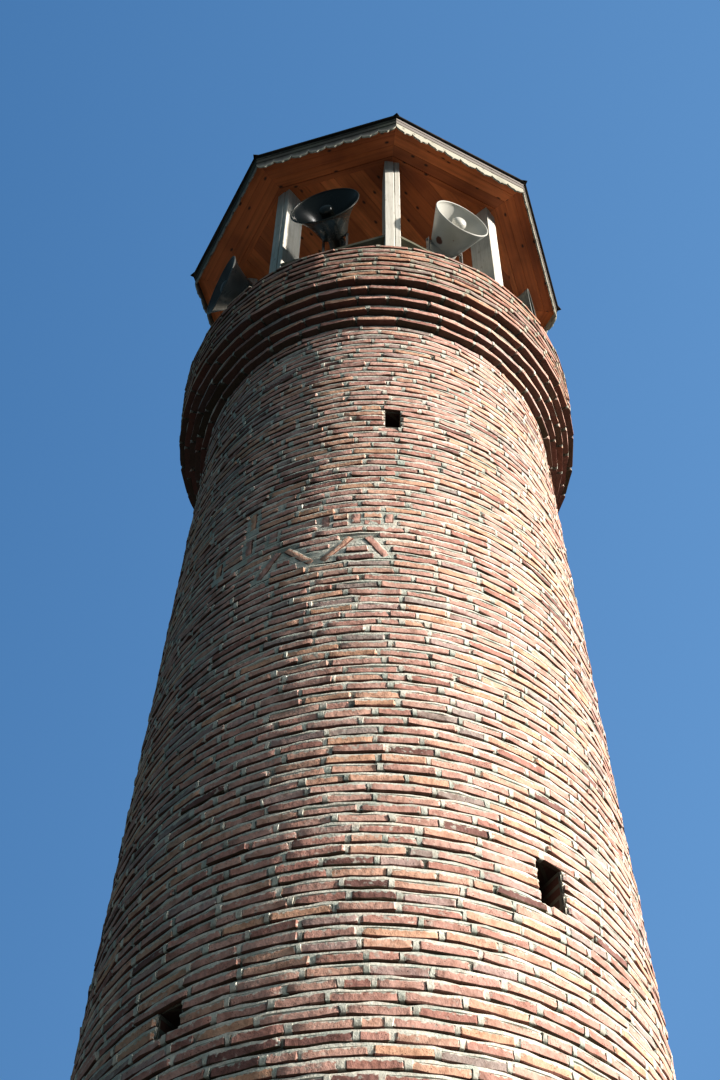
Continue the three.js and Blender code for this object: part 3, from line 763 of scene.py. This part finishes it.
# Half a tongue from its point: a straight flank to 24 % of the half width and 28 % of the
# height, then a quadratic curve to the notch between two tongues.
eave_level, valance_drop, scallop, tongues = 14.400, 0.215, 0.062, 8
curve = np.linspace(0, 1, 7)
side_of = (1 - curve) ** 2 + 2 * curve * (1 - curve) * 0.88 + curve**2 * 0.24
foot_of = scallop * (0.28 + 0.72 * (1 - curve) ** 2)
tongue = np.concatenate([np.linspace(0, 0.24, 3), side_of[::-1][1:]])
tongue_foot = np.concatenate([np.linspace(0, 0.28, 3) * scallop, foot_of[::-1][1:]])
half_edge = np.concatenate([-tongue[::-1], tongue[1:]])
half_foot = np.concatenate([tongue_foot[::-1], tongue_foot[1:]])
edge = ((np.arange(tongues)[:, None] + 0.5) * 2 - tongues + half_edge[None, :-1]).ravel() / tongues
edge, foot = np.append(edge, 1.0), np.append(np.tile(half_foot[:-1], tongues), half_foot[-1])
# face, back and lower edge of the valance, the middle board and the top board
layers = ((fascia_face - 0.009, fascia_back, eave_level - valance_drop),
          (fascia_face - 0.0045, fascia_face - 0.0088, eave_level - 0.104),
          (fascia_face, fascia_face - 0.0043, eave_level - 0.052))
lower = np.array([1, 1, 0, 0, 0, 0, 1, 1])
boards, grains, tones = [], [], []
for k in range(8):
    outward, sideways = side_axes(k + 0.5)
    # The four sides away from the key light get darker tones: painted shade. Their valance is also painted
    # dark at its top: painted shade under the boards above.
    shaded_side, shades = 2 <= k <= 5, (0.95, 0.55, 0.6)
    if shaded_side:
        shades = (1.0, 0.26, 0.0) if k == 5 else (0.8, 0.18, 0.0)
    for valance, shade, (face, back, low) in zip((True, False, False), shades, layers):
        run = edge if valance else np.linspace(-1, 1, 9)
        dip = foot if valance else dice.normal(0, 0.0004, 9)
        c, high = 0.0018, eave_level
        depth = np.array([face - c, face, face, face - c, back + c, back, back, back + c])
        rise = np.array([low, low + c, high - c, high, high, high - c, low + c, low])
        along = run[:, None] * depth * side_slope
        level = rise + lower * dip[:, None]
        points = np.stack(np.broadcast_arrays(along, depth, level), -1)
        boards.append((aimed(points, sideways, outward, upward)[None], False))
        grains.append(points[..., [0, 2]] + dice.uniform(0, 9, 2))
        top_shade = -0.9 if valance and shaded_side else shade
        tones.append(np.broadcast_to(np.where(lower, shade, top_shade), along.shape))
fascia = build("fascia_boards", boards, fascia_finish, "white_paint", 35, grain=grains, tone=tones)
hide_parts("fascia")

# Roof: dark painted sheet metal on an eight-sided pyramid, joined by standing seams and
# folded down over the eave as a drip edge; caps cover the hips.
metal_finish, place = new_finish("dark_roof_metal")
cloud = place.clouds(3, 5, 0.3, 0.75)
patina = cloud.ramp((0.03, 0.027, 0.024), (0.06, 0.052, 0.045), (0.085, 0.07, 0.058))
rust = place.clouds(11, 6, 0.62, 0.78)
coat(metal_finish, patina.tint((0.16, 0.065, 0.03), rust * 0.5), 0.42 + rust * 0.3,
     place.noise(2.4, 2) + place.noise(120, 3) * 0.02, 0.006, 0.5)
repaint(("roof", "hip_caps"), metal_finish)
roof_pitch = math.radians(42)
# sections of a seam, across it and above the sheet, and of the drip edge, out and up
seam_across, seam_above = np.array([(-0.010, -0.004), (0.010, -0.004), (0.006, 0.006), (0.006, 0.024),
                                    (0.003, 0.027), (-0.003, 0.027), (-0.006, 0.024), (-0.006, 0.006)]).T
drip = np.array([(-0.013, -0.0015), (0.001, -0.0015), (0.001, -0.013), (0.0035, -0.014),
                 (0.0035, 0.002), (-0.013, 0.017)])
drip_out, drip_level = (drip + (eave_apothem, eave_level)).T
seams, drips = [], []
for k in range(8):
    outward, sideways = side_axes(k + 0.5)
    for offset in (-0.42, -0.21, 0.0, 0.21, 0.42):
        inner = max(abs(offset) / side_slope + 0.055, 0.10)
        ends = np.array([[eave_apothem - 0.07], [inner]])
        depth = ends + seam_above * math.sin(roof_pitch)
        level = eave_level + (eave_apothem - ends) * math.tan(roof_pitch) + seam_above * math.cos(roof_pitch)
        points = np.stack(np.broadcast_arrays(offset + seam_across, depth, level), -1)
        seams.append((aimed(points, sideways, outward, upward)[None], False))
    run = np.array([[-1], [1]]) * drip_out * side_slope
    points = np.stack(np.broadcast_arrays(run, drip_out, drip_level), -1)
    drips.append((aimed(points, sideways, outward, upward)[None], False))
build("roof_seams", seams, metal_finish, "roof_metal", 40)
build("drip_edge", drips, metal_finish, "roof_metal", 30)

# Finial: a turned brass stem with two balls and a small crescent, on the roof's flat top.
brass_finish, place = new_finish("dull_brass")
tarnish = place.clouds(14, 5, 0.4, 0.7)
coat(brass_finish, tarnish.ramp((0.5, 0.36, 0.13), (0.26, 0.2, 0.1)), 0.30 + tarnish * 0.3,
     place.noise(60, 3), 0.0006, 0.9)


def turned(profile, sides, axis, side, origin):
    """A solid turned about an axis from rows of radius and distance along the axis, as one
    tube; the two end rows are closed by flat discs."""
    axis, side = np.array(axis, float), np.array(side, float)
    third = np.cross(axis, side)
    angle = np.linspace(0, 2 * math.pi, sides, endpoint=False)
    ring = np.cos(angle)[:, None] * side + np.sin(angle)[:, None] * third
    radius, along = np.array(profile, float).T
    return (np.array(origin) + radius[:, None, None] * ring + along[:, None, None] * axis)[None]


def ball(centre, radius, begin, end):
    """Rows of a turned ball between two angles of its meridian."""
    arc = np.radians(np.linspace(begin, end, 15))
    return [(radius * math.cos(t), centre + radius * math.sin(t)) for t in arc]


def crescent_edge(step, radius, centre, tip_turn):
    """One edge of the crescent: an arc about a centre, from one tip at step -1 round below
    to the other at 1; a tip lies tip_turn away from straight up."""
    turned_by = math.pi - (math.pi - tip_turn) * np.abs(step)
    side = np.sign(step) * radius * np.sin(turned_by)
    return np.stack([side, 0 * step, centre + radius * np.cos(turned_by)], -1)


roof_top = float(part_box("finial")[0][2])
profile = [(0.096, 0), (0.096, 0.008), (0.088, 0.014), (0.062, 0.026), (0.040, 0.048), (0.028, 0.078),
           (0.021, 0.108), *ball(0.190, 0.076, -74, 74), (0.018, 0.272), (0.018, 0.284),
           *ball(0.340, 0.052, -70, 70), (0.014, 0.398), (0.013, 0.420), (0.010, 0.466), (0.004, 0.470)]
stem = turned(profile, 40, upward, (1, 0, 0), (0, 0, roof_top))
step = np.linspace(-1, 1, 49)
outer_edge = crescent_edge(step, 0.0805, 0.539, math.atan2(52.5, 63.0))
inner_edge = crescent_edge(step, 0.0615, 0.569, math.atan2(52.5, 33.0))
thick = (0.0052 * (1 - 0.75 * np.abs(step) ** 3))[:, None] * (0, 1, 0)
middle = (outer_edge + inner_edge) / 2
loop = np.stack([outer_edge, middle + thick, inner_edge, middle - thick], 1)
loop = aimed(loop, *side_axes(0), upward, (0, 0, roof_top))
finial = build("finial_brass", [(stem, False), (loop[None], False)], brass_finish, "brass", 40)
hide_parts("finial")


# Horn loudspeakers: spun metal bells with a rolled rim, a domed centre piece in the throat
# and a driver can behind, enamelled and weathered, each held by a steel fork on its rail.
def enamel(name, light, dark, chips, roughness, worn_through=(0, 0, 0)):
    """Enamel that is chalky in patches, with rust where small noise is high and in one
    patch about 6 cm wide where it has worn through, which by default is on no horn."""
    finish, place = new_finish(name)
    chalk = place.clouds(6, 5, 0.35, 0.7)
    away = place.node("VectorMath", {"operation": "DISTANCE"}, {0: place, 1: worn_through}, "Value")
    patch = 1 - (away + place.noise(30, 3) * 0.03).rise(0.040, 0.052)
    rust = place.noise(26, 5).rise(chips, chips + 0.07).math("MAXIMUM", patch)
    color = chalk.ramp(light, dark).tint((0.16, 0.06, 0.04), rust)
    grit = place.noise(160, 3) * 0.15 - rust
    return coat(finish, color, roughness + chalk * 0.15 + rust * 0.4, grit, 0.0008, gloss=0.6)


dark_enamel = enamel("dark_enamel", (0.024, 0.026, 0.023), (0.015, 0.016, 0.014), 0.72, 0.22)
slate_enamel = enamel("slate_enamel", (0.075, 0.082, 0.084), (0.045, 0.05, 0.052), 0.72, 0.25)
pale_enamel = enamel("pale_enamel", (0.5, 0.5, 0.47), (0.42, 0.42, 0.39), 0.70, 0.30,
                     (0.451, -1.040, 13.109))
grey_enamel = enamel("grey_enamel", (0.13, 0.135, 0.12), (0.09, 0.095, 0.085), 0.68, 0.40)
steel_finish, place = new_finish("galvanised_steel")
spangle = place.clouds(70, 4, 0.35, 0.7)
coat(steel_finish, spangle.ramp((0.2, 0.2, 0.2), (0.3, 0.3, 0.29)), 0.45 + spangle * 0.2,
     place.noise(150, 3), 0.0006, 0.7)
repaint("horn_bracket", steel_finish)

horn_level, wall, arm_gap, throat_at, bead_radius, pivot_along = 13.220, 0.003, 0.024, 0.130, 0.006, 0.106
# driver can: radius beyond the driver's, and distance from its back
can_rows = ((-0.022, 0), (-0.012, 0.002), (-0.005, 0.008), (-0.002, 0.016), (-0.002, 0.040), (0, 0.042),
            (0, 0.050), (-0.002, 0.052), (-0.002, 0.122), (0.006, 0.126))
# domed end of the centre piece: radius, and distance beyond the bell's own length
dome_rows = ((0.050, 0.070), (0.055, 0.076), (0.055, 0.083), (0.052, 0.096), (0.045, 0.107),
             (0.033, 0.115), (0.018, 0.119), (0.003, 0.120))
bolt_rows = ((0.003, 0), (0.011, 0), (0.011, 0.002), (0.0085, 0.0025), (0.0085, 0.0085), (0.004, 0.0095))
# bay, mouth and throat radius, mouth's distance, bell length, curl, driver radius
horns = ((4, 0.235, 0.100, 1.325, 0.250, 0.5, 0.062, slate_enamel, "dark_horn"),
         (5, 0.260, 0.100, 1.320, 0.245, 0.5, 0.062, dark_enamel, "dark_horn"),
         (6, 0.215, 0.120, 1.320, 0.245, 0.0, 0.112, pale_enamel, "pale_horn"),
         (7, 0.220, 0.120, 1.250, 0.200, 0.0, 0.112, grey_enamel, "grey_horn"))
for number, (bay, mouth, throat, mouth_at, length, curl, driver, finish, slot) in enumerate(horns, 1):
    outward, sideways = side_axes(bay + 0.5)
    t = np.linspace(0, 1, 20)
    bell = throat + (mouth - throat) * ((1 - curl) * t + curl * t**2.5)
    rim = np.radians(np.linspace(-80, 200, 9))
    rim_at = throat_at + length - bead_radius
    outside = np.stack([bell + wall, throat_at + (length - bead_radius) * t], -1)
    bead = np.stack([mouth - 0.002 + bead_radius * np.cos(rim), rim_at + bead_radius * np.sin(rim)], -1)
    inside = np.stack([bell[::-1] - wall, rim_at - (length - 0.024) * t], -1)
    can = [(driver + wider, along) for wider, along in can_rows]
    centre = [(0.050, 0.146), *((radius, length + beyond) for radius, beyond in dome_rows)]
    profile = [*can, *outside, *bead, *inside[1:], *centre]
    back = mouth_at - length - throat_at
    body = turned(profile, 56, outward, sideways, outward * back + (0, 0, horn_level))
    pivot_at = outward * (back + pivot_along) + (0, 0, horn_level)
    reach = driver + arm_gap
    pivot = turned([(0.008, -reach), (0.008, reach)], 12, sideways, outward, pivot_at)
    horn = build(f"horn_bell_{number}", [(body, False), (pivot, False)], finish, slot, 32)
    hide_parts(f"horn_{number}")
    bolts = []
    for side in (-1, 1):
        start = pivot_at + sideways * side * (reach + 0.0063)
        bolts.append((turned(bolt_rows, 12, sideways * side, outward, start), False))
    build(f"horn_bolts_{number}", bolts, steel_finish, "steel", 30)

# Two stage pieces that aren't part of the tower: a plain pale round floor, and a ball 120 m
# in radius that only the camera sees. Its blue grows lighter to the right and downward.
floor_radius, floor_corners = 12, 96
around = np.linspace(0, 2 * math.pi, floor_corners, endpoint=False)
rim = round_tower(around, floor_radius, 0, 0 * around)
sheet = bpy.data.meshes.new("floor")
sheet.from_pydata(rim.tolist(), [], [list(range(floor_corners))])
ground = bpy.data.objects.new("floor", sheet)
pale, _ = new_finish("pale_floor")
sheet.materials.append(coat(pale, (0.30, 0.295, 0.28, 1), 0.9))
show(ground)

bpy.ops.mesh.primitive_uv_sphere_add(segments=48, ring_count=24, radius=120)
backdrop = bpy.context.object
backdrop.name = "backdrop"
backdrop.visible_diffuse = backdrop.visible_glossy = backdrop.visible_shadow = False
backdrop.visible_transmission = backdrop.visible_volume_scatter = False
plain_blue, place = new_finish("plain_blue")
plain_blue.cycles.emission_sampling = "NONE"
lightness = place.part("X") * 0.0146 + place.part("Z") * -0.0095 + 1.46
blue = lightness.ramp((0.073, 0.19, 0.393), (0.132, 0.289, 0.543))
coat(plain_blue, (0, 0, 0, 1), 0.5, gloss=0.0)
glow = plain_blue.node_tree.nodes["Principled BSDF"].inputs
glow["Emission Strength"].default_value = 1.0
plain_blue.node_tree.links.new(blue.socket, glow["Emission Color"])
backdrop.data.materials.append(plain_blue)
